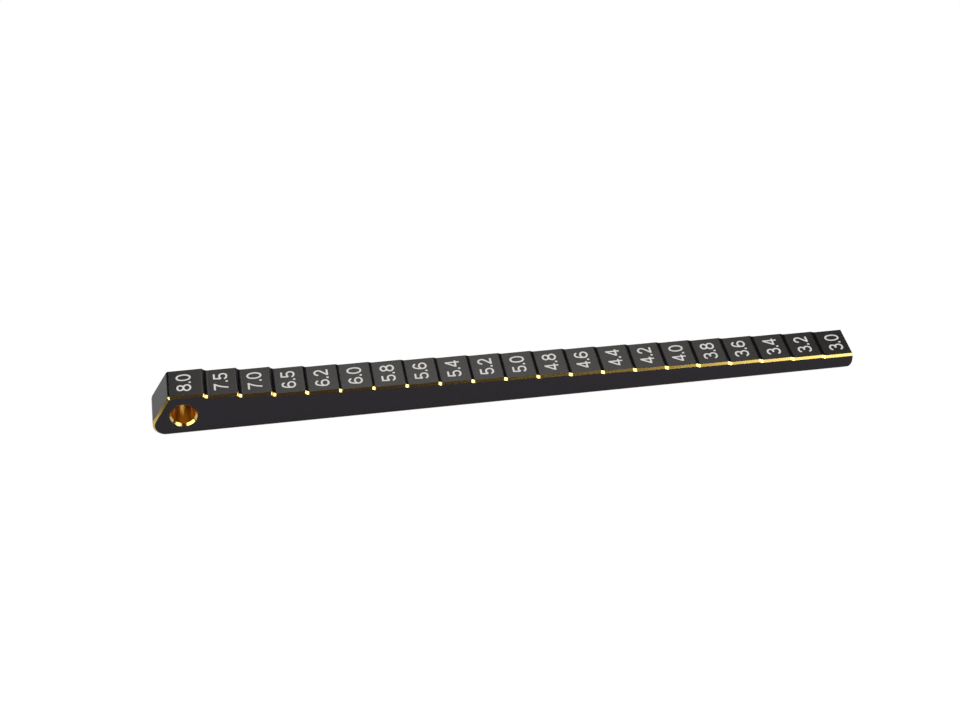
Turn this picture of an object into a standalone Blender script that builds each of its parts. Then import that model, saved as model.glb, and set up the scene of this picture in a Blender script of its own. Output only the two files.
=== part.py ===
"""Ride height gauge: one stepped bar milled from anodised aluminium.

The bar lies on its long flat underside. X runs along its length, from the
thick end at -X to the thin end at +X, Y runs across it and Z is up. Its top
is a stair of flat gauging treads, each a marked height above the underside.
A 45 degree chamfer follows the stair, the raked end and the underside on both
sides, and runs out at the thin end, which is cut square across it. A chamfered
bore crosses the thick end, to hang the gauge by.
"""
import math

import bmesh
import bpy
from mathutils import Matrix, Vector

MM = 0.001

# Gauging heights, built up from the thin end
THIN_HEIGHT = 3.0 * MM
FINE_STEP = 0.2 * MM
FINE_TREADS = 17
JOINING_STEP = 0.3 * MM
COARSE_STEP = 0.5 * MM
COARSE_TREADS = 4

# Lengths of the treads along the bar
THICK_END_TREAD = 6.0 * MM
TREAD_PITCH = 5.7 * MM
THIN_END_TREAD = 5.5 * MM

# Section of the bar, and the round corner that the end mill leaves at each riser
WIDTH = 7.6 * MM
SIDE_CHAMFER = 0.35 * MM
RISER_RADIUS = 1.0 * MM

# The two ends: one raked, one square, each with a rounded toe
RAKE_ANGLE = math.radians(30.7)
RAKE_TOE_RADIUS = 2.2 * MM
THIN_TOE_RADIUS = 1.55 * MM

# The bore across the thick end, at half its height
BORE_DIAMETER = 4.0 * MM
BORE_CHAMFER = 0.35 * MM
BORE_SETBACK = 2.25 * MM

# How far the blank and the cutters reach past what they leave
OVERRUN = 1.0 * MM

# Fineness of the round stretches
FACET_ANGLE = math.radians(5)
BORE_SIDES = 64
SHARP_ANGLE = math.radians(30)
WELD_DISTANCE = 0.001 * MM

# The bar's slot of gold, which comes after the one of black
GOLD_SLOT = 1


def tread_heights():
    """Return the treads' heights above the underside, from the thick end to the thin end."""
    fine = [THIN_HEIGHT + FINE_STEP * i for i in range(FINE_TREADS)]
    coarse = [fine[-1] + JOINING_STEP + COARSE_STEP * i for i in range(COARSE_TREADS)]
    return (fine + coarse)[::-1]


def stair_length():
    """Return the length from the first tread's outer edge to the thin end."""
    inner_treads = FINE_TREADS + COARSE_TREADS - 2
    return THICK_END_TREAD + TREAD_PITCH * inner_treads + THIN_END_TREAD


def rake_reach():
    """Return how far the raked end stands out past the first tread's outer edge."""
    toe_loss = RAKE_TOE_RADIUS * (1 / math.cos(RAKE_ANGLE) + math.tan(RAKE_ANGLE) - 1)
    return tread_heights()[0] * math.tan(RAKE_ANGLE) - toe_loss


def first_edge_x():
    """Return where the first tread starts, which centres the bar on X = 0."""
    return (rake_reach() - stair_length()) / 2


def riser_edges():
    """Return where the treads end in the sharp edges of the risers, from the thick end onward."""
    start = first_edge_x() + THICK_END_TREAD
    return [start + TREAD_PITCH * i for i in range(FINE_TREADS + COARSE_TREADS - 1)]


def facet_count(sweep):
    """Return how many straight facets stand for an arc of the given sweep."""
    return max(1, math.ceil(sweep / FACET_ANGLE))


def rounded_corner(before, corner, after, radius):
    """Return the points of the arc that rounds a corner, in the order of travel."""
    back = (before - corner).normalized()
    onward = (after - corner).normalized()
    half = back.angle(onward) / 2
    centre = corner + (back + onward).normalized() * (radius / math.sin(half))
    spoke = corner + back * (radius / math.tan(half)) - centre
    sweep = math.copysign(math.pi - 2 * half, onward.cross(back))
    steps = facet_count(abs(sweep))
    return [centre + Matrix.Rotation(sweep * i / steps, 2) @ spoke for i in range(steps + 1)]


def riser(edge_x, upper, lower):
    """Return the points of one riser, from the upper tread's edge down its hollow arc."""
    drop = upper - lower
    sweep = math.acos(max(0.0, 1.0 - drop / RISER_RADIUS))
    centre = Vector((edge_x + RISER_RADIUS * math.sin(sweep), lower + RISER_RADIUS))
    steps = facet_count(sweep)
    points = [Vector((edge_x, upper))] if drop > RISER_RADIUS else []
    for i in range(steps + 1):
        angle = sweep * (1 - i / steps)
        points.append(centre - RISER_RADIUS * Vector((math.sin(angle), math.cos(angle))))
    return points


def blank_outline():
    """Return the outline of the bar's side as (x, z) points, before the thin end is cut to length."""
    heights = tread_heights()
    left = first_edge_x()
    blank_end = left + stair_length() + OVERRUN
    rake_top = Vector((left, heights[0]))
    rake_toe = Vector((left - heights[0] * math.tan(RAKE_ANGLE), 0.0))
    end_top = Vector((blank_end, heights[-1]))
    end_toe = Vector((blank_end, 0.0))

    stair = []
    for edge_x, upper, lower in zip(riser_edges(), heights, heights[1:]):
        stair += riser(edge_x, upper, lower)
    return ([rake_top] + stair + [end_top, end_toe]
            + rounded_corner(end_toe, rake_toe, rake_top, RAKE_TOE_RADIUS))


def offcut_outline():
    """Return the outline of what is cut off to leave the thin end square, with its toe rounded."""
    end = first_edge_x() + stair_length()
    top = Vector((end, THIN_HEIGHT + OVERRUN))
    outside = Vector((2 * OVERRUN, 0.0))
    arc = rounded_corner(top, Vector((end, 0.0)), Vector((0.0, 0.0)), THIN_TOE_RADIUS)
    return [top] + arc + [Vector((arc[-1].x, -OVERRUN)), Vector((end, -OVERRUN)) + outside, top + outside]


def prism(outline, width):
    """Return the solid that an outline of (x, z) points sweeps when it is drawn out across Y."""
    shape = bmesh.new()
    rim = [shape.verts.new((x, -width / 2, z)) for x, z in outline]
    side = shape.faces.new(rim)
    drawn = bmesh.ops.extrude_face_region(shape, geom=[side])["geom"]
    far_rim = [part for part in drawn if isinstance(part, bmesh.types.BMVert)]
    bmesh.ops.translate(shape, verts=far_rim, vec=(0.0, width, 0.0))
    bmesh.ops.recalc_face_normals(shape, faces=shape.faces)
    return shape


def finished_mesh(name, shape):
    """Return a mesh of the given name made from a shape, which is freed."""
    mesh = bpy.data.meshes.new(name)
    shape.to_mesh(mesh)
    shape.free()
    return mesh


def slice_across(shape, x):
    """Split the faces that cross the given x, which leaves the shape as it is."""
    everything = shape.verts[:] + shape.edges[:] + shape.faces[:]
    bmesh.ops.bisect_plane(shape, geom=everything, plane_co=(x, 0.0, 0.0), plane_no=(1.0, 0.0, 0.0))


def blank_mesh():
    """Return the mesh of the milled blank, with both rims of its outline chamfered.

    The long side faces are split at the middle of each tread, so that none is
    too long and narrow to be divided cleanly into triangles.
    """
    shape = prism(blank_outline(), WIDTH)
    rims = [edge for edge in shape.edges if edge.verts[0].co.y == edge.verts[1].co.y]
    bmesh.ops.bevel(shape, geom=rims, offset=SIDE_CHAMFER, offset_type='OFFSET', affect='EDGES',
                    segments=1, profile=0.5, material=GOLD_SLOT)
    for edge_x in riser_edges():
        slice_across(shape, edge_x + TREAD_PITCH / 2)
    return finished_mesh("gauge_bar", shape)


def bore_cutter_mesh():
    """Return the mesh that cuts the bore: a shaft that flares at 45 degrees through both sides."""
    bore = BORE_DIAMETER / 2
    flare = bore + BORE_CHAMFER + OVERRUN
    tip = WIDTH / 2 + OVERRUN
    throat = WIDTH / 2 - BORE_CHAMFER
    section = [(0.0, -tip), (flare, -tip), (bore, -throat), (bore, throat), (flare, tip), (0.0, tip)]

    shape = bmesh.new()
    points = [shape.verts.new((radius, y, 0.0)) for radius, y in section]
    lines = [shape.edges.new(pair) for pair in zip(points, points[1:])]
    bmesh.ops.spin(shape, geom=points + lines, cent=(0.0, 0.0, 0.0), axis=(0.0, 1.0, 0.0),
                   angle=math.tau, steps=BORE_SIDES, use_merge=True)
    bmesh.ops.remove_doubles(shape, verts=shape.verts, dist=WELD_DISTANCE)
    bmesh.ops.recalc_face_normals(shape, faces=shape.faces)
    return finished_mesh("bore_cutter", shape)


def anodised(name, colour, roughness, metallic):
    """Return a material for one anodised finish."""
    material = bpy.data.materials.new(name)
    material.use_nodes = True
    shader = material.node_tree.nodes["Principled BSDF"]
    shader.inputs["Base Color"].default_value = (*colour, 1.0)
    shader.inputs["Roughness"].default_value = roughness
    shader.inputs["Metallic"].default_value = metallic
    return material


def add_object(name, mesh, *materials):
    """Return a new object of the scene with the given mesh and materials."""
    for material in materials:
        mesh.materials.append(material)
    piece = bpy.data.objects.new(name, mesh)
    bpy.context.scene.collection.objects.link(piece)
    return piece


def cut_away(bar, cutter):
    """Cut a cutter's shape out of the bar, and keep the cutter out of the render."""
    cutter.display_type = 'WIRE'
    cutter.hide_render = True
    cut = bar.modifiers.new(cutter.name, 'BOOLEAN')
    cut.operation = 'DIFFERENCE'
    cut.solver = 'EXACT'
    cut.material_mode = 'TRANSFER'
    cut.object = cutter


def build_bar():
    """Build the gauge: the chamfered blank, cut to length and then bored."""
    black = anodised("black_anodised", (0.025, 0.024, 0.026), 0.42, 0.6)
    gold = anodised("gold_anodised", (0.85, 0.52, 0.10), 0.28, 1.0)
    bar = add_object("gauge_bar", blank_mesh(), black, gold)

    offcut = prism(offcut_outline(), WIDTH + 2 * OVERRUN)
    cut_away(bar, add_object("end_cutter", finished_mesh("end_cutter", offcut), black))
    bore_cutter = add_object("bore_cutter", bore_cutter_mesh(), gold)
    bore_cutter.location = (first_edge_x() + BORE_SETBACK, 0.0, tread_heights()[0] / 2)
    cut_away(bar, bore_cutter)

    bar.data.shade_smooth()
    bar.data.set_sharp_from_angle(angle=SHARP_ANGLE)
    return bar


for old in list(bpy.data.objects):
    bpy.data.objects.remove(old, do_unlink=True)
build_bar()
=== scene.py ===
"""Looks of the ride height gauge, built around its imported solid.

The gauge is one stepped bar with two anodised finishes, satin black on its
faces and gold on its chamfers and bore, and a marked height on every tread.
Lengths are in metres and in the solid's own frame: X runs along the bar from
its thick end to its thin end, Y runs across it, and Z is up from the plane
that it lies on.
"""
import logging
import math
from dataclasses import dataclass, field
from enum import Enum
from functools import cached_property

import bmesh
import bpy
from mathutils import Matrix, Vector


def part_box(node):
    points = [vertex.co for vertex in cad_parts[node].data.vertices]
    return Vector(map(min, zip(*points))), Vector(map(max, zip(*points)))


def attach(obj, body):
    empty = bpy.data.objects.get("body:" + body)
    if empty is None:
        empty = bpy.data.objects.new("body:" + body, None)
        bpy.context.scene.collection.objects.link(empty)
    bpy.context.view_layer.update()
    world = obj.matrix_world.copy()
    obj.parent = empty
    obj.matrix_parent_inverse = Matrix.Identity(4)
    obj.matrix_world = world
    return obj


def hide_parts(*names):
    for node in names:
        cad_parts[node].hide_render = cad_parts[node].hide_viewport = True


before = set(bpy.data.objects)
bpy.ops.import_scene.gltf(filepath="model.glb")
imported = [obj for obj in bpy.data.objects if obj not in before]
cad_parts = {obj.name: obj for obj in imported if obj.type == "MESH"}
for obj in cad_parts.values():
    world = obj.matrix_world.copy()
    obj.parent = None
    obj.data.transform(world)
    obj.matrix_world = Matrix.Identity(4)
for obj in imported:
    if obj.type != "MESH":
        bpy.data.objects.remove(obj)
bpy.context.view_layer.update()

MM = 0.001
WELD_DISTANCE = 0.001 * MM
BODY = "root"
BAR_NODE = "gauge_bar"

Colour = tuple[float, float, float]
Line = list[Vector]

log = logging.getLogger("ride_height_gauge")


class Finish(Enum):
    """The finishes on the bar, each with the material slot that its faces use."""

    MILLED_BLACK = 0
    GROUND_BLACK = 1
    GOLD = 2
    BORED_GOLD = 3


class Lay(Enum):
    """The way that a cutter's fine lines run over a surface, as stretches of the pattern."""

    ALONG = (0.03, 1.0, 1.0)
    ACROSS = (1.0, 0.03, 1.0)
    AROUND = (0.4, 1.0, 0.4)


class Combining(Enum):
    """The ways that shapes are combined, as the Boolean modifier names them."""

    UNITED = 'UNION'
    CUT_OUT = 'DIFFERENCE'


class NodeGraph:
    """A node tree with short ways to add nodes and to join them.

    Its masks are noises, and most of a noise lies between the low and the high mask.
    """

    mask_low: float = 0.25
    mask_high: float = 0.75

    def __init__(self, tree: bpy.types.NodeTree) -> None:
        """Take hold of a node tree.

        Args:
            tree: The tree that nodes are added to.
        """
        self.tree = tree

    def add(self, kind: str, **settings: object) -> bpy.types.Node:
        """Add a node.

        Args:
            kind: The node's type, as Blender names it.
            settings: Attributes to set on the new node.

        Returns:
            The new node.
        """
        node = self.tree.nodes.new(kind)
        for name, value in settings.items():
            setattr(node, name, value)
        return node

    def join(self, source: bpy.types.NodeSocket, node: bpy.types.Node, socket: str) -> None:
        """Feed a node's named input from another node's output."""
        self.tree.links.new(source, node.inputs[socket])

    def ramp(self, source: bpy.types.NodeSocket, low: float, high: float) -> bpy.types.NodeSocket:
        """Spread a mask over a range.

        Args:
            source: The mask, which varies about one half.
            low: What a low mask becomes.
            high: What a high mask becomes.

        Returns:
            The value that the mask stands for.
        """
        spread = self.add("ShaderNodeMapRange")
        spread.inputs["From Min"].default_value = self.mask_low
        spread.inputs["From Max"].default_value = self.mask_high
        spread.inputs["To Min"].default_value = low
        spread.inputs["To Max"].default_value = high
        self.join(source, spread, "Value")
        return spread.outputs["Result"]

    def mix(self, share: bpy.types.NodeSocket, first: Colour, second: Colour) -> bpy.types.NodeSocket:
        """Mix two colours.

        Args:
            share: How much of the second colour there is.
            first: The first colour.
            second: The second colour.

        Returns:
            The mixed colour.
        """
        mixed = self.add("ShaderNodeMix", data_type='RGBA')
        mixed.inputs["A"].default_value = (*first, 1.0)
        mixed.inputs["B"].default_value = (*second, 1.0)
        self.join(share, mixed, "Factor")
        return next(socket for socket in mixed.outputs if socket.type == 'RGBA')


@dataclass(frozen=True)
class MachinedGrain:
    """Fine texture of a cut and anodised face: tool lines, a speckle and a slow cloud."""

    name: str = "machined_grain"
    line_pitch: float = 0.09 * MM
    speckle_size: float = 0.07 * MM
    cloud_size: float = 4.0 * MM
    line_detail: float = 3.0
    spot_detail: float = 2.0
    line_share: float = 0.6

    def group(self) -> bpy.types.NodeTree:
        """Return the shader group, which is made the first time that it is asked for."""
        made = bpy.data.node_groups.get(self.name)
        return made if made else self.build()

    def build(self) -> bpy.types.NodeTree:
        """Make the shader group.

        Returns:
            A group that turns a position and the stretch of its lines into a mask and a height.
        """
        tree = bpy.data.node_groups.new(self.name, "ShaderNodeTree")
        for label in ("Position", "Stretch"):
            tree.interface.new_socket(label, in_out='INPUT', socket_type='NodeSocketVector')
        for label in ("Cloud", "Height"):
            tree.interface.new_socket(label, in_out='OUTPUT', socket_type='NodeSocketFloat')
        graph = NodeGraph(tree)
        inside = graph.add("NodeGroupInput")
        outside = graph.add("NodeGroupOutput")

        stretched = graph.add("ShaderNodeVectorMath", operation='MULTIPLY')
        tree.links.new(inside.outputs["Position"], stretched.inputs[0])
        tree.links.new(inside.outputs["Stretch"], stretched.inputs[1])
        lines = self.noise(graph, stretched.outputs["Vector"], self.line_pitch, self.line_detail)
        speckle = self.noise(graph, inside.outputs["Position"], self.speckle_size, self.spot_detail)
        cloud = self.noise(graph, inside.outputs["Position"], self.cloud_size, self.spot_detail)
        height = graph.add("ShaderNodeMix", data_type='FLOAT')
        height.inputs["Factor"].default_value = self.line_share
        graph.join(speckle, height, "A")
        graph.join(lines, height, "B")
        graph.join(cloud, outside, "Cloud")
        graph.join(height.outputs["Result"], outside, "Height")
        return tree

    def noise(self, graph: NodeGraph, position: bpy.types.NodeSocket, size: float,
              detail: float) -> bpy.types.NodeSocket:
        """Add a noise.

        Args:
            graph: The tree to add it to.
            position: Where the noise is read.
            size: The width of its features.
            detail: How many finer layers it has.

        Returns:
            The noise's value.
        """
        texture = graph.add("ShaderNodeTexNoise", noise_dimensions='3D')
        texture.inputs["Scale"].default_value = 1.0 / size
        texture.inputs["Detail"].default_value = detail
        graph.join(position, texture, "Vector")
        return texture.outputs["Fac"]


@dataclass(frozen=True)
class Surface:
    """A finish whose colour, gloss and relief come from the machined grain.

    A subclass gives its own values. The colours are linear.
    """

    name: str
    dark: Colour
    light: Colour
    smooth: float
    rough: float
    relief: float
    lay: Lay
    metallic: float = 0.0
    ior: float = 1.5
    tint: Colour = (1.0, 1.0, 1.0)
    coat: float = 0.0
    coat_roughness: float = 0.12
    coat_ior: float = 1.6

    def material(self) -> bpy.types.Material:
        """Make the material.

        Returns:
            A material whose grain is fixed to the object's own coordinates.
        """
        material = bpy.data.materials.new(self.name)
        material.use_nodes = True
        graph = NodeGraph(material.node_tree)
        shader = material.node_tree.nodes["Principled BSDF"]
        shader.inputs["Metallic"].default_value = self.metallic
        shader.inputs["IOR"].default_value = self.ior
        shader.inputs["Specular Tint"].default_value = (*self.tint, 1.0)
        shader.inputs["Coat Weight"].default_value = self.coat
        shader.inputs["Coat Roughness"].default_value = self.coat_roughness
        shader.inputs["Coat IOR"].default_value = self.coat_ior

        place = graph.add("ShaderNodeTexCoord")
        grain = graph.add("ShaderNodeGroup", node_tree=MachinedGrain().group())
        grain.inputs["Stretch"].default_value = self.lay.value
        graph.join(place.outputs["Object"], grain, "Position")
        cloud = graph.ramp(grain.outputs["Cloud"], 0.0, 1.0)
        graph.join(graph.mix(cloud, self.dark, self.light), shader, "Base Color")
        graph.join(graph.ramp(grain.outputs["Height"], self.smooth, self.rough), shader, "Roughness")
        bump = graph.add("ShaderNodeBump")
        bump.inputs["Strength"].default_value = 1.0
        bump.inputs["Distance"].default_value = self.relief
        graph.join(grain.outputs["Height"], bump, "Height")
        graph.join(bump.outputs["Normal"], shader, "Normal")
        return material


@dataclass(frozen=True)
class BlackAnodising(Surface):
    """Satin black anodising over a machined face."""

    name: str = "black_milled"
    dark: Colour = (0.0034, 0.0032, 0.0032)
    light: Colour = (0.0050, 0.0047, 0.0046)
    smooth: float = 0.25
    rough: float = 0.31
    relief: float = 0.0010 * MM
    lay: Lay = Lay.ACROSS
    ior: float = 1.63
    tint: Colour = (1.0, 0.98, 0.89)


@dataclass(frozen=True)
class GoldAnodising(Surface):
    """Clear gold anodising over a freshly cut chamfer or bore."""

    name: str = "gold_anodised"
    dark: Colour = (0.92, 0.62, 0.120)
    light: Colour = (0.98, 0.68, 0.145)
    smooth: float = 0.15
    rough: float = 0.20
    relief: float = 0.0008 * MM
    lay: Lay = Lay.AROUND
    metallic: float = 1.0
    coat: float = 0.8


@dataclass(frozen=True)
class BoredGoldWithPaintedShade(GoldAnodising):
    """Gold anodising on the rougher wall that a drill leaves, darker and redder than the chamfers' gold as
    painted shade inside the bore.
    """

    name: str = "gold_bored_painted_shade"
    # Darker, redder gold than the chamfers: painted shade of the bore's inside
    dark: Colour = (0.79, 0.40, 0.055)
    light: Colour = (0.85, 0.45, 0.069)
    smooth: float = 0.33
    rough: float = 0.39
    coat: float = 0.1


@dataclass(frozen=True)
class MarkingWhite(Surface):
    """Matt white of a mark that a laser leaves in the anodising."""

    name: str = "marking_white"
    dark: Colour = (0.70, 0.69, 0.66)
    light: Colour = (0.78, 0.77, 0.735)
    smooth: float = 0.50
    rough: float = 0.65
    relief: float = 0.002 * MM
    lay: Lay = Lay.AROUND


def new_piece(name: str, shape: bmesh.types.BMesh, *materials: bpy.types.Material) -> bpy.types.Object:
    """Make an object of the scene from a finished shape.

    Args:
        name: The object's name.
        shape: Its shape, in place, which is freed.
        materials: Its materials, in the order of their slots.

    Returns:
        The new object, which sits at the origin.
    """
    mesh = bpy.data.meshes.new(name)
    shape.to_mesh(mesh)
    shape.free()
    for material in materials:
        mesh.materials.append(material)
    piece = bpy.data.objects.new(name, mesh)
    bpy.context.scene.collection.objects.link(piece)
    return piece


def combined(way: Combining, first: bmesh.types.BMesh, others: list[bmesh.types.BMesh]) -> bpy.types.Mesh:
    """Unite a shape with others, or cut the others out of it.

    Args:
        way: Which of the two to do.
        first: The shape to start from, which is freed.
        others: The shapes to unite with it or to cut out of it, which are freed.

    Returns:
        The mesh of what comes out.
    """
    whole = new_piece("whole", first)
    parts = [new_piece("part", other) for other in others]
    for part in parts:
        step = whole.modifiers.new("step", 'BOOLEAN')
        step.operation = way.value
        step.solver = 'EXACT'
        step.object = part
    depsgraph = bpy.context.evaluated_depsgraph_get()
    mesh = bpy.data.meshes.new_from_object(whole.evaluated_get(depsgraph))
    for spent in (whole, *parts):
        bpy.data.objects.remove(spent, do_unlink=True)
    return mesh


def lofted(rims: list[tuple[Line, float]]) -> bmesh.types.BMesh:
    """Stretch a closed skin over outlines of equally many points.

    It joins the outlines point by point. A bevel of the blank's rims would run
    short of room at the risers, and leave the chamfers' mitres crooked there.

    Args:
        rims: The outlines, as (x, z) points, each with its place along Y.

    Returns:
        The solid shape, with its first and last outlines filled in.
    """
    shape = bmesh.new()
    loops = [[shape.verts.new((point.x, y, point.y)) for point in line] for line, y in rims]
    for near, far in zip(loops, loops[1:]):
        for i in range(len(near)):
            shape.faces.new((near[i - 1], near[i], far[i], far[i - 1]))
    shape.faces.new(loops[0])
    shape.faces.new(loops[-1])
    bmesh.ops.remove_doubles(shape, verts=shape.verts, dist=WELD_DISTANCE)
    bmesh.ops.recalc_face_normals(shape, faces=shape.faces)
    return shape


@dataclass(frozen=True)
class Tread:
    """One gauging tread: where its flat starts and ends along the bar, and how high it is."""

    start: float
    end: float
    height: float

    @property
    def label(self) -> str:
        """Return the height in millimetres, as it is marked on the tread."""
        return f"{self.height / MM:.1f}"


@dataclass
class Section:
    """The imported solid's section in its middle plane, as closed lines of (x, z) points.

    The outline starts at the outer edge of the thickest tread and goes on along the treads.
    """

    straight: float = math.radians(0.5)
    shortest_tread: float = 2.0 * MM
    outline: Line = field(init=False, repr=False)
    bore: Line = field(init=False, repr=False)

    def __post_init__(self) -> None:
        """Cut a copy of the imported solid's mesh, and sort out what the cut shows."""
        cut = bmesh.new()
        cut.from_mesh(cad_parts[BAR_NODE].data)
        bmesh.ops.remove_doubles(cut, verts=cut.verts, dist=WELD_DISTANCE)
        bmesh.ops.bisect_plane(cut, geom=cut.verts[:] + cut.edges[:] + cut.faces[:],
                               plane_co=(0.0, 0.0, 0.0), plane_no=(0.0, 1.0, 0.0),
                               clear_inner=True, clear_outer=True)
        lines = [self.corners_of(line) for line in self.followed(cut)]
        cut.free()
        outline, self.bore = sorted(lines, key=lambda line: min(point.x for point in line))
        top = max(point.y for point in outline)
        first = min((point for point in outline if point.y > top - WELD_DISTANCE),
                    key=lambda point: point.x)
        place = outline.index(first)
        outline = outline[place:] + outline[:place]
        self.outline = outline if outline[1].x > first.x else [first] + outline[:0:-1]

    def followed(self, cut: bmesh.types.BMesh) -> list[Line]:
        """Follow the closed lines of a cut.

        Args:
            cut: The cut, in the plane of X and Z.

        Returns:
            The points of each line, in order.
        """
        waiting = dict.fromkeys(cut.verts)
        lines = []
        while waiting:
            corner = next(iter(waiting))
            line = []
            while corner:
                del waiting[corner]
                line.append(Vector((corner.co.x, corner.co.z)))
                neighbours = [edge.other_vert(corner) for edge in corner.link_edges]
                corner = next((other for other in neighbours if other in waiting), None)
            lines.append(line)
        return lines

    def corners_of(self, line: Line) -> Line:
        """Leave out the points where a closed line goes straight on.

        Args:
            line: The line's points.

        Returns:
            The points where it turns.
        """
        turns = [(corner - before).angle(after - corner)
                 for before, corner, after in zip(line[-1:] + line, line, line[1:] + line[:1])]
        return [corner for corner, turn in zip(line, turns) if turn > self.straight]

    def treads(self) -> list[Tread]:
        """Read the treads off the outline.

        Returns:
            The treads, from the thick end to the thin end.
        """
        return [Tread(start.x, end.x, start.y) for start, end in zip(self.outline, self.outline[1:])
                if abs(end.y - start.y) < WELD_DISTANCE and end.x - start.x > self.shortest_tread]

    def bore_centre(self) -> Vector:
        """Return the bore's middle."""
        return sum(self.bore, Vector((0.0, 0.0))) / len(self.bore)


@dataclass(frozen=True)
class Ease:
    """How a corner of an outline is rounded: its reach before and after the corner, and its facets.

    Where the reach after the corner is left open, it is the outline's next point.
    """

    before: float
    after: float | None
    facets: int

    def curve(self, before: Vector, corner: Vector, after: Vector) -> Line:
        """Return the points that stand for a corner.

        Args:
            before: The outline's point before the corner.
            corner: The corner.
            after: The outline's point after the corner.

        Returns:
            The points of the rounding, without one that the outline already has.
        """
        start = corner + (before - corner).normalized() * self.before
        end = after if self.after is None else corner + (after - corner).normalized() * self.after
        points = [start.lerp(corner, t).lerp(corner.lerp(end, t), t)
                  for t in (i / self.facets for i in range(self.facets + 1))]
        return points[:-1] if self.after is None else points


@dataclass
class GaugeBar:
    """The stepped bar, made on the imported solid's own outline.

    Edges inside one finish are eased. Those where the gold starts are crisp, because they are cut last.
    """

    chamfer: float = 0.35 * MM
    overrun: float = 1.0 * MM
    riser_ease: Ease = Ease(0.27 * MM, None, 4)
    rake_ease: Ease = Ease(0.28 * MM, 0.28 * MM, 5)
    end_ease: float = 0.10 * MM
    end_ease_segments: int = 3
    edge_ease: float = 0.02 * MM
    edge_ease_segments: int = 2
    crumb: float = 0.025 * MM
    side_lean: float = 0.9
    chamfer_lean: float = 0.3
    sharp_angle: float = math.radians(25)
    # Specular tint of the ground sides, set low so that they mirror the floor beside the bar darker:
    # painted shade
    side_painted_shade_tint: Colour = (0.57, 0.52, 0.62)
    section: Section = field(default_factory=Section)
    shape: bmesh.types.BMesh = field(init=False, repr=False)

    @cached_property
    def box(self) -> tuple[Vector, Vector]:
        """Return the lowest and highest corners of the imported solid."""
        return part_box(BAR_NODE)

    @property
    def half_width(self) -> float:
        """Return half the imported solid's width."""
        return (self.box[1].y - self.box[0].y) / 2

    @property
    def first_edge(self) -> float:
        """Return where the thickest tread starts along the bar."""
        return self.section.outline[0].x

    def end_profile(self) -> Line:
        """Find the thin end in the outline.

        Returns:
            Its points, from its top corner round its toe to the underside.
        """
        line = self.section.outline
        last = self.section.treads()[-1]
        start = next(i for i, point in enumerate(line)
                     if point.x > last.end - WELD_DISTANCE and point.y > last.height - WELD_DISTANCE)
        stop = next(i for i in range(start, len(line)) if line[i].y < WELD_DISTANCE)
        return line[start:stop + 1]

    def blank_outline(self) -> Line:
        """Lengthen the outline past the thin end.

        Returns:
            The outline of the blank, before the thin end is cut to length.
        """
        line = self.section.outline
        end = self.end_profile()
        start = line.index(end[0])
        beyond = end[0].x + self.overrun
        return (line[:start] + [Vector((beyond, end[0].y)), Vector((beyond, 0.0))]
                + line[start + len(end):])

    def inset(self, line: Line) -> Line:
        """Move an outline inward by the chamfer's width.

        Sides too short to last are dropped, and the points at both their ends share one place.

        Args:
            line: The outline, with its inside to the right.

        Returns:
            The new place of each of its points.
        """
        ways = [(after - corner).normalized() for corner, after in zip(line, line[1:] + line[:1])]
        moved = [corner + Vector((way.y, -way.x)) * self.chamfer for corner, way in zip(line, ways)]
        lasting = list(range(len(line)))
        while True:
            starts = {}
            for before, side in zip(lasting[-1:] + lasting, lasting):
                along = (moved[side] - moved[before]).cross(ways[side]) / ways[before].cross(ways[side])
                starts[side] = moved[before] + ways[before] * along
            lengths = {side: (starts[after] - starts[side]).dot(ways[side])
                       for side, after in zip(lasting, lasting[1:] + lasting[:1])}
            shortest = min(lengths, key=lengths.get)
            if lengths[shortest] > 0:
                break
            lasting.remove(shortest)
        return [starts[next((side for side in lasting if side >= i), lasting[0])] for i in range(len(line))]

    def eased(self, line: Line, corners: dict[int, Ease]) -> Line:
        """Round some corners of an outline.

        Args:
            line: The outline.
            corners: How each corner is rounded, by its place in the outline.

        Returns:
            The outline with more points.
        """
        rounded = []
        for i, corner in enumerate(line):
            ease = corners.get(i)
            rounded += ease.curve(line[i - 1], corner, line[i + 1]) if ease else [corner]
        return rounded

    def blank(self) -> bmesh.types.BMesh:
        """Make the chamfered blank.

        Returns:
            The blank, which reaches past the thin end.
        """
        outline = self.blank_outline()
        ends = {tread.end for tread in self.section.treads()[:-1]}
        corners = {i: self.riser_ease for i, point in enumerate(outline)
                   if point.x in ends and point.y > WELD_DISTANCE}
        corners[0] = self.rake_ease
        edge = self.eased(outline, corners)
        side = self.inset(edge)
        shoulder = self.half_width - self.chamfer
        return lofted([(side, -self.half_width), (edge, -shoulder),
                       (edge, shoulder), (side, self.half_width)])

    def end_cutter(self) -> bmesh.types.BMesh:
        """Make the thin end's cutter.

        Returns:
            The cutter, which leaves the end square, with its toe rounded.
        """
        end = self.end_profile()
        above = Vector((end[0].x, end[0].y + self.overrun))
        below = Vector((end[-1].x, -self.overrun))
        outside = Vector((end[0].x + 2 * self.overrun, 0.0))
        line = [above, *end[1:], below, outside + Vector((0.0, below.y)), outside + Vector((0.0, above.y))]
        reach = self.half_width + self.overrun
        return lofted([(line, -reach), (line, reach)])

    def bore_cutter(self) -> bmesh.types.BMesh:
        """Make the bore's cutter.

        Returns:
            The cutter, which flares at 45 degrees through both sides.
        """
        centre = self.section.bore_centre()
        spokes = [point - centre for point in self.section.bore]
        radius = max(spoke.length for spoke in spokes)
        flare = 1 + (self.chamfer + self.overrun) / radius
        throat = [centre + spoke for spoke in spokes]
        mouth = [centre + spoke * flare for spoke in spokes]
        shoulder = self.half_width - self.chamfer
        reach = self.half_width + self.overrun
        return lofted([(mouth, -reach), (throat, -shoulder), (throat, shoulder), (mouth, reach)])

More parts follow.
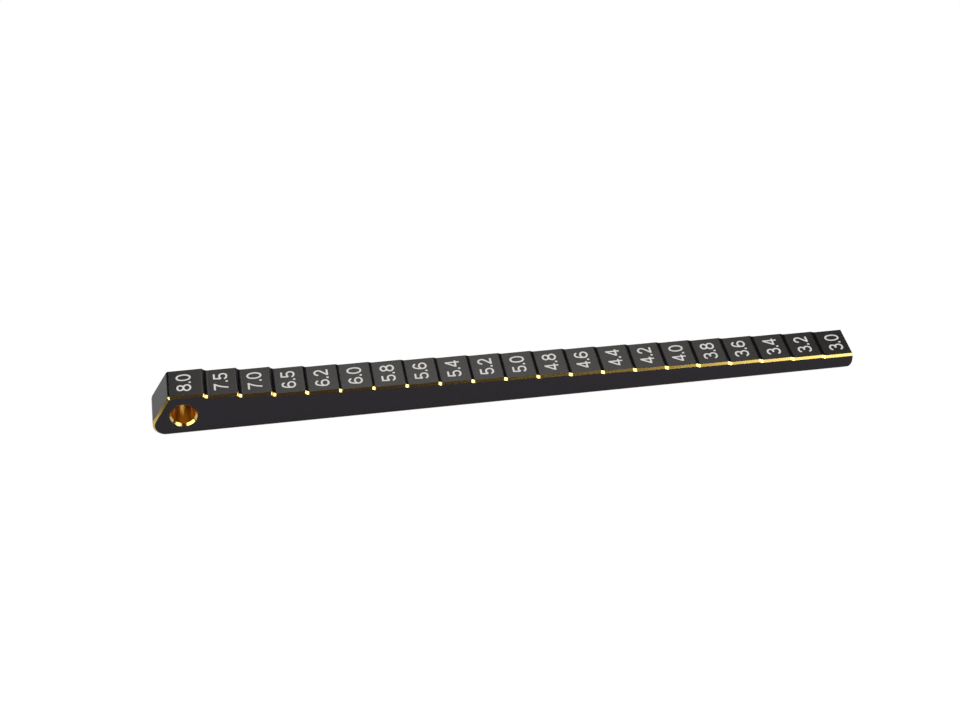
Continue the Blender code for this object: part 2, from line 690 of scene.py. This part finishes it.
    def finish_of(self, face: bmesh.types.BMFace) -> Finish:
        """Say which finish a face has.

        Args:
            face: A face of the bar, before its last edges are eased.

        Returns:
            Gold for what is cut after the black, which is every chamfer and the bore.
        """
        lean = abs(face.normal.y)
        if lean > self.side_lean:
            return Finish.GROUND_BLACK
        if lean > self.chamfer_lean:
            return Finish.GOLD
        middle = face.calc_center_median()
        off = Vector((middle.x, middle.z)) - self.section.bore_centre()
        bore = self.section.bore[0] - self.section.bore_centre()
        return Finish.BORED_GOLD if off.length < bore.length + WELD_DISTANCE else Finish.MILLED_BLACK

    def end_edges(self) -> list[bmesh.types.BMEdge]:
        """Find the thin end's top edge.

        Returns:
            The edge, with those that carry it on over the chamfers.
        """
        corner = self.end_profile()[0]

        def meets(vert: bmesh.types.BMVert) -> bool:
            """Say whether a corner of the shape is on that edge's line across the bar."""
            return (Vector((vert.co.x, vert.co.z)) - corner).length < WELD_DISTANCE

        return [edge for edge in self.shape.edges
                if any(meets(vert) for vert in edge.verts)
                and abs(edge.verts[0].co.y - edge.verts[1].co.y) > WELD_DISTANCE]

    def ease(self, edges: list[bmesh.types.BMEdge], offset: float, segments: int) -> None:
        """Round some edges.

        Args:
            edges: The edges.
            offset: How far the rounding reaches on each side.
            segments: How many facets it has.
        """
        bmesh.ops.bevel(self.shape, geom=edges, offset=offset, offset_type='OFFSET', affect='EDGES',
                        segments=segments, profile=0.5, material=-1, clamp_overlap=False)

    def sharp_edges(self) -> list[bmesh.types.BMEdge]:
        """Return the edges whose faces meet at more than the sharp angle."""
        return [edge for edge in self.shape.edges
                if edge.is_manifold and edge.calc_face_angle() > self.sharp_angle]

    def build(self) -> bpy.types.Object:
        """Build the bar.

        Returns:
            The finished bar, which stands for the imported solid.
        """
        mesh = combined(Combining.CUT_OUT, self.blank(), [self.end_cutter(), self.bore_cutter()])
        self.shape = bmesh.new()
        self.shape.from_mesh(mesh)
        bpy.data.meshes.remove(mesh)
        bmesh.ops.remove_doubles(self.shape, verts=self.shape.verts, dist=self.crumb)
        for face in self.shape.faces:
            face.material_index = self.finish_of(face).value
        self.ease(self.end_edges(), self.end_ease, self.end_ease_segments)
        alike = [edge for edge in self.sharp_edges()
                 if edge.link_faces[0].material_index == edge.link_faces[1].material_index]
        self.ease(alike, self.edge_ease, self.edge_ease_segments)
        for face in self.shape.faces:
            face.smooth = True
        for edge in self.sharp_edges():
            edge.smooth = False

        piece = new_piece("anodised_bar", self.shape,
                          BlackAnodising().material(),
                          # The sides' material: the ground finish with its lines along the bar, and a
                          # dimmed reflection that is painted shade
                          BlackAnodising("black_ground_painted_shade", lay=Lay.ALONG, tint=self.side_painted_shade_tint).material(),
                          GoldAnodising().material(),
                          BoredGoldWithPaintedShade().material())
        piece.modifiers.new("flat_faces", 'WEIGHTED_NORMAL').keep_sharp = True
        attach(piece, BODY)
        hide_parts(BAR_NODE)
        return piece


@dataclass(frozen=True)
class Run:
    """A straight move of the pen."""

    length: float


@dataclass(frozen=True)
class Bend:
    """A move of the pen along an arc, to the left where the angle is positive, in degrees."""

    radius: float
    angle: float


@dataclass(frozen=True)
class Stroke:
    """One stroke of a numeral: where the pen starts, which way it heads, in degrees, and its moves."""

    start: tuple[float, float]
    heading: float
    moves: tuple[Run | Bend, ...]
    width: float = 0.32


def oval(middle: float, half_width: float, half_height: float, crown: float) -> Stroke:
    """Describe a closed oval of four arcs.

    Args:
        middle: The height of its middle.
        half_width: Half its width at the pen's centre.
        half_height: Half its height at the pen's centre.
        crown: The radius of its top and bottom arcs.

    Returns:
        The stroke, which starts and ends at the right side.
    """
    rise = half_height - crown
    side = (half_width ** 2 + rise ** 2 - crown ** 2) / (2 * (half_width - crown))
    share = math.degrees(math.atan(rise / (side - half_width)))
    cap = Bend(crown, 180 - 2 * share)
    flank = Bend(side, 2 * share)
    half_flank = Bend(side, share)
    return Stroke((half_width, middle), 90, (half_flank, cap, flank, cap, half_flank))


# The strokes of each numeral, in millimetres from its middle
NUMERALS = {
    "0": (oval(0.0, 0.735, 1.12, 0.62),),
    "2": (Stroke((-0.61, 0.48), 90, (Bend(0.62, -225), Run(1.53))),
          Stroke((-0.76, -1.05), 0, (Run(1.56),))),
    "3": (Stroke((-0.61, 0.69), 80, (Bend(0.48, -80), Run(0.29), Bend(0.50, -180), Run(0.30))),
          Stroke((-0.15, 0.09), 0, (Run(0.32), Bend(0.59, -180), Run(0.24), Bend(0.61, -75)))),
    "4": (Stroke((0.40, -1.225), 90, (Run(2.45),)),
          Stroke((-0.87, -0.52), 0, (Run(1.74),)),
          Stroke((-0.73, -0.45), 55, (Run(1.90),))),
    "5": (Stroke((-0.62, 1.05), 0, (Run(1.36),)),
          Stroke((-0.47, 1.22), 264, (Run(1.30),)),
          Stroke((-0.54, -0.15), 60, (Bend(0.60, -60), Run(0.16), Bend(0.60, -180), Run(0.22),
                                      Bend(0.60, -72)))),
    "6": (oval(-0.49, 0.745, 0.595, 0.85),
          Stroke((-0.745, -0.44), 90, (Bend(3.0, -22), Bend(0.61, -138)))),
    "7": (Stroke((-0.87, 1.05), 0, (Run(1.74),)),
          Stroke((0.70, 1.05), 230.3, (Bend(4.51, 32),))),
    "8": (oval(0.59, 0.635, 0.51, 0.75), oval(-0.51, 0.745, 0.59, 0.85)),
    ".": (Stroke((0.0, -1.225), 90, (Run(0.38),), width=0.38),),
}


class Pen:
    """A broad pen whose nib is an edge that is swept along lines and arcs.

    Its moves are in millimetres, and so is the seam that is closed where a stroke meets itself.
    """

    arc_step: float = math.radians(8)
    fewest_steps: int = 2
    seam: float = 0.004

    def __init__(self, stroke: Stroke) -> None:
        """Set the nib down at the start of a stroke.

        Args:
            stroke: The stroke to draw, in millimetres.
        """
        self.shape = bmesh.new()
        self.place = Vector((*stroke.start, 0.0))
        self.heading = math.radians(stroke.heading)
        half = self.leftward() * (stroke.width / 2)
        ends = [self.shape.verts.new(self.place + half), self.shape.verts.new(self.place - half)]
        self.nib = self.shape.edges.new(ends)

    def leftward(self) -> Vector:
        """Return the direction to the left of the pen's heading."""
        return Vector((-math.sin(self.heading), math.cos(self.heading), 0.0))

    def forward(self) -> Vector:
        """Return the direction that the pen is heading in."""
        return Vector((math.cos(self.heading), math.sin(self.heading), 0.0))

    def run(self, move: Run) -> None:
        """Draw a straight move.

        Args:
            move: The move.
        """
        drawn = bmesh.ops.extrude_edge_only(self.shape, edges=[self.nib])["geom"]
        corners = [part for part in drawn if isinstance(part, bmesh.types.BMVert)]
        bmesh.ops.translate(self.shape, verts=corners, vec=self.forward() * move.length)
        self.nib = self.shape.edges.get(corners)
        self.place += self.forward() * move.length

    def bend(self, move: Bend) -> None:
        """Draw an arc.

        Args:
            move: The arc.
        """
        angle = math.radians(move.angle)
        side = math.copysign(1.0, angle)
        centre = self.place + self.leftward() * (side * move.radius)
        steps = max(self.fewest_steps, math.ceil(abs(angle) / self.arc_step))
        drawn = bmesh.ops.spin(self.shape, geom=[*self.nib.verts, self.nib], cent=centre,
                               axis=(0.0, 0.0, 1.0), angle=angle, steps=steps, use_merge=False)
        self.nib = next(part for part in drawn["geom_last"] if isinstance(part, bmesh.types.BMEdge))
        self.place = centre + Matrix.Rotation(angle, 3, 'Z') @ (self.place - centre)
        self.heading += angle

    def draw(self, moves: tuple[Run | Bend, ...]) -> bmesh.types.BMesh:
        """Draw a stroke's moves.

        Args:
            moves: The moves, in order.

        Returns:
            The flat stroke.
        """
        for move in moves:
            if isinstance(move, Run):
                self.run(move)
            else:
                self.bend(move)
        bmesh.ops.remove_doubles(self.shape, verts=self.shape.verts, dist=self.seam)
        return self.shape


@dataclass
class HeightMarks:
    """The marked heights: thin white numerals on the treads, read from the front to the back.

    The first label is set back from its tread's outer edge, and the others from their treads' ends.
    Two of them sit a little later.
    """

    depth: float = 0.012 * MM
    numeral_offset: float = 1.39 * MM
    first_setback: float = 2.75 * MM
    setback: float = 2.75 * MM
    last_setback: float = 2.36 * MM
    late_shifts: dict[str, float] = field(default_factory=lambda: {"3.4": 0.11 * MM, "3.2": 0.11 * MM})
    glyphs: dict[str, bpy.types.Mesh] = field(default_factory=dict)

    def solid_stroke(self, stroke: Stroke) -> bmesh.types.BMesh:
        """Make one stroke.

        Args:
            stroke: The stroke.

        Returns:
            A slab of the marks' depth.
        """
        shape = Pen(stroke).draw(stroke.moves)
        bmesh.ops.scale(shape, verts=shape.verts, vec=(MM, MM, MM))
        drawn = bmesh.ops.extrude_face_region(shape, geom=shape.faces[:])["geom"]
        lifted = [part for part in drawn if isinstance(part, bmesh.types.BMVert)]
        bmesh.ops.translate(shape, verts=lifted, vec=(0.0, 0.0, self.depth))
        bmesh.ops.recalc_face_normals(shape, faces=shape.faces)
        return shape

    def glyph(self, character: str) -> bpy.types.Mesh:
        """Make one numeral.

        Args:
            character: A numeral or the point.

        Returns:
            Its mesh, with its strokes united, centred on the origin.
        """
        if character not in self.glyphs:
            strokes = [self.solid_stroke(stroke) for stroke in NUMERALS[character]]
            self.glyphs[character] = combined(Combining.UNITED, strokes[0], strokes[1:])
        return self.glyphs[character]

    def middle_of(self, tread: Tread, first: bool, last: bool) -> Vector:
        """Find the place of a label.

        Args:
            tread: Its tread.
            first: Whether that is the thickest tread.
            last: Whether that is the thinnest tread.

        Returns:
            The middle of the label, on the tread.
        """
        setback = self.last_setback if last else self.setback - self.late_shifts.get(tread.label, 0.0)
        x = tread.start + self.first_setback if first else tread.end - setback
        return Vector((x, 0.0, tread.height))

    def label(self, tread: Tread, middle: Vector, white: bpy.types.Material) -> bpy.types.Object:
        """Mark one tread.

        Args:
            tread: The tread.
            middle: The middle of its label.
            white: The marks' material.

        Returns:
            The label, which lies on the tread.
        """
        shape = bmesh.new()
        turned = Matrix.Translation(middle) @ Matrix.Rotation(math.radians(90), 4, 'Z')
        for character, offset in zip(tread.label, (-self.numeral_offset, 0.0, self.numeral_offset)):
            before = len(shape.verts)
            shape.from_mesh(self.glyph(character))
            shape.verts.ensure_lookup_table()
            bmesh.ops.transform(shape, verts=shape.verts[before:],
                                matrix=turned @ Matrix.Translation((offset, 0.0, 0.0)))
        piece = new_piece(f"height_mark_{tread.label}", shape, white)
        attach(piece, BODY)
        return piece

    def build(self, treads: list[Tread]) -> list[bpy.types.Object]:
        """Mark every tread.

        Args:
            treads: The treads, from the thick end to the thin end.

        Returns:
            One label for each tread.
        """
        white = MarkingWhite().material()
        return [self.label(tread, self.middle_of(tread, tread is treads[0], tread is treads[-1]), white)
                for tread in treads]


def outward(bearing: float, elevation: float) -> Vector:
    """Work out a direction from the gauge.

    Args:
        bearing: Its turn from -Y toward +X, in degrees.
        elevation: Its rise above the floor, in degrees.

    Returns:
        A vector of length 1.
    """
    turn = math.radians(bearing)
    rise = math.radians(elevation)
    return Vector((math.sin(turn) * math.cos(rise), -math.cos(turn) * math.cos(rise), math.sin(rise)))


@dataclass(frozen=True)
class Softbox:
    """A rectangular lamp that faces the gauge.

    Its bearing is in degrees from -Y toward +X, and its elevation is in degrees.
    """

    name: str
    bearing: float
    elevation: float
    distance: float
    width: float
    height: float
    radiance: float

    def build(self) -> bpy.types.Object:
        """Hang the lamp.

        Returns:
            The lamp, as bright all over as its radiance says.
        """
        lamp = bpy.data.lights.new(self.name, 'AREA')
        lamp.shape = 'RECTANGLE'
        lamp.size = self.width
        lamp.size_y = self.height
        lamp.energy = math.pi * self.width * self.height * self.radiance
        hung = bpy.data.objects.new(self.name, lamp)
        bpy.context.scene.collection.objects.link(hung)
        away = outward(self.bearing, self.elevation)
        turn = away.to_track_quat('Z', 'Y').to_matrix().to_4x4()
        hung.matrix_world = Matrix.Translation(away * self.distance) @ turn
        return hung


@dataclass
class Studio:
    """A pale floor and plain soft light around the gauge."""

    floor_radius: float = 0.112
    floor_drop: float = 0.02 * MM
    floor_sides: int = 96
    floor_pale: Colour = (0.64, 0.64, 0.64)
    camera_share: float = 0.88
    floor_mirror_share: float = 0.045
    room_mirror_share: float = 0.006
    glow: float = 1.09
    dim: Colour = (0.0065, 0.0, 0.012)
    white: Colour = (1.0, 1.0, 1.0)
    # Name, bearing, elevation, distance, width, height and radiance
    boxes: tuple[Softbox, ...] = (
        Softbox("back_box", 170.5, 47.0, 1.5, 0.53, 0.50, 2.0),
        Softbox("right_box", 67.7, 38.4, 1.5, 1.61, 1.09, 1.95),
        Softbox("right_core", 47.5, 37.5, 1.4, 0.40, 0.38, 3.9),
        Softbox("right_wing", 29.0, 48.0, 1.8, 0.64, 0.77, 0.037),
        Softbox("left_box", -68.5, 35.1, 1.5, 1.65, 1.68, 2.8),
        Softbox("top_box", 180.0, 88.0, 1.5, 0.9, 0.7, 1.4),
    )

    def white_share(self, graph: NodeGraph, seen: float, mirrored: float) -> bpy.types.NodeSocket:
        """Make a mask of how much of the backdrop's white a ray sees.

        Args:
            graph: The tree to add it to.
            seen: The share that the camera sees.
            mirrored: The share that shows in metal and through glass.

        Returns:
            The share for the ray, and 0 for the other kinds of ray.
        """
        path = graph.add("ShaderNodeLightPath")
        shares = {"Is Camera Ray": seen, "Is Glossy Ray": mirrored, "Is Transmission Ray": mirrored}
        mask = None
        for kind, share in shares.items():
            scaled = graph.add("ShaderNodeMath", operation='MULTIPLY_ADD')
            graph.tree.links.new(path.outputs[kind], scaled.inputs[0])
            scaled.inputs[1].default_value = share
            scaled.inputs[2].default_value = 0.0
            if mask:
                graph.tree.links.new(mask, scaled.inputs[2])
            mask = scaled.outputs["Value"]
        return mask

    def floor_material(self) -> bpy.types.Material:
        """Make the floor's material.

        Returns:
            A pale matt white, which also glows white to what looks at it, and keeps the shadow.
        """
        material = bpy.data.materials.new("studio_white")
        material.use_nodes = True
        graph = NodeGraph(material.node_tree)
        graph.tree.nodes.remove(graph.tree.nodes["Principled BSDF"])
        matt = graph.add("ShaderNodeBsdfDiffuse")
        matt.inputs["Color"].default_value = (*self.floor_pale, 1.0)
        glow = graph.add("ShaderNodeEmission")
        glow.inputs["Strength"].default_value = self.glow
        mixed = graph.add("ShaderNodeMixShader")
        graph.join(self.white_share(graph, self.camera_share, self.floor_mirror_share), mixed, "Fac")
        graph.tree.links.new(matt.outputs["BSDF"], mixed.inputs[1])
        graph.tree.links.new(glow.outputs["Emission"], mixed.inputs[2])
        graph.join(mixed.outputs["Shader"], graph.tree.nodes["Material Output"], "Surface")
        return material

    def floor(self) -> bpy.types.Object:
        """Lay the floor.

        Returns:
            A wide disc just under the gauge.
        """
        shape = bmesh.new()
        bmesh.ops.create_circle(shape, cap_ends=True, segments=self.floor_sides, radius=self.floor_radius)
        bmesh.ops.translate(shape, verts=shape.verts, vec=(0.0, 0.0, -self.floor_drop))
        floor = new_piece("studio_floor", shape, self.floor_material())
        return floor

    def world(self) -> bpy.types.World:
        """Fill the room with dim light, and show white where the camera looks past the floor.

        Returns:
            The world, which the scene then uses.
        """
        world = bpy.data.worlds.new("studio_room")
        world.use_nodes = True
        graph = NodeGraph(world.node_tree)
        room = world.node_tree.nodes["Background"]
        share = self.white_share(graph, 1.0, self.room_mirror_share)
        graph.join(graph.mix(share, self.dim, self.white), room, "Color")
        bpy.context.scene.world = world
        return world

    def build(self) -> None:
        """Set up the room, its floor and its lamps."""
        self.world()
        self.floor()
        for box in self.boxes:
            box.build()


@dataclass(frozen=True)
class Viewpoint:
    """The camera of the photograph.

    Its bearing is in degrees from -Y toward +X, and its aim is measured from
    the thick tread's outer edge, the front side and the floor.
    """

    bearing: float = -9.450
    elevation: float = 37.912
    roll: float = 0.318
    distance: float = 330.25 * MM
    aim: tuple[float, float, float] = (52.899 * MM, 0.0, 9.747 * MM)
    sensor: float = 36.0
    focal_length: float = 72.727
    nearest: float = 10 * MM
    farthest: float = 100.0

    def build(self, bar: GaugeBar) -> bpy.types.Object:
        """Set up the camera.

        Args:
            bar: The bar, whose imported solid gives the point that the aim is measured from.

        Returns:
            The camera, which the scene then uses.
        """
        backward = outward(self.bearing, self.elevation)
        target = Vector((bar.first_edge, bar.box[0].y, 0.0)) + Vector(self.aim)
        level = backward.to_track_quat('Z', 'Y').to_matrix().to_4x4()
        turn = Matrix.Rotation(math.radians(self.roll), 4, 'Z')

        data = bpy.data.cameras.new("photo_camera")
        data.sensor_width = self.sensor
        data.lens = self.focal_length
        data.clip_start = self.nearest
        data.clip_end = self.farthest
        camera = bpy.data.objects.new("photo_camera", data)
        bpy.context.scene.collection.objects.link(camera)
        camera.matrix_world = Matrix.Translation(target + backward * self.distance) @ level @ turn
        bpy.context.scene.camera = camera
        return camera


def main() -> None:
    """Build the gauge and its studio, and report each piece."""
    logging.basicConfig(level=logging.INFO, format="%(name)s: %(message)s")
    bpy.context.scene.view_settings.view_transform = 'Standard'
    bar = GaugeBar()
    treads = bar.section.treads()
    Viewpoint().build(bar)
    Studio().build()
    log.info("studio and camera ready")
    pieces = [*HeightMarks().build(treads), bar.build()]
    for piece in pieces:
        log.info("built %s with %d faces", piece.name, len(piece.data.polygons))


if __name__ == "__main__":
    main()
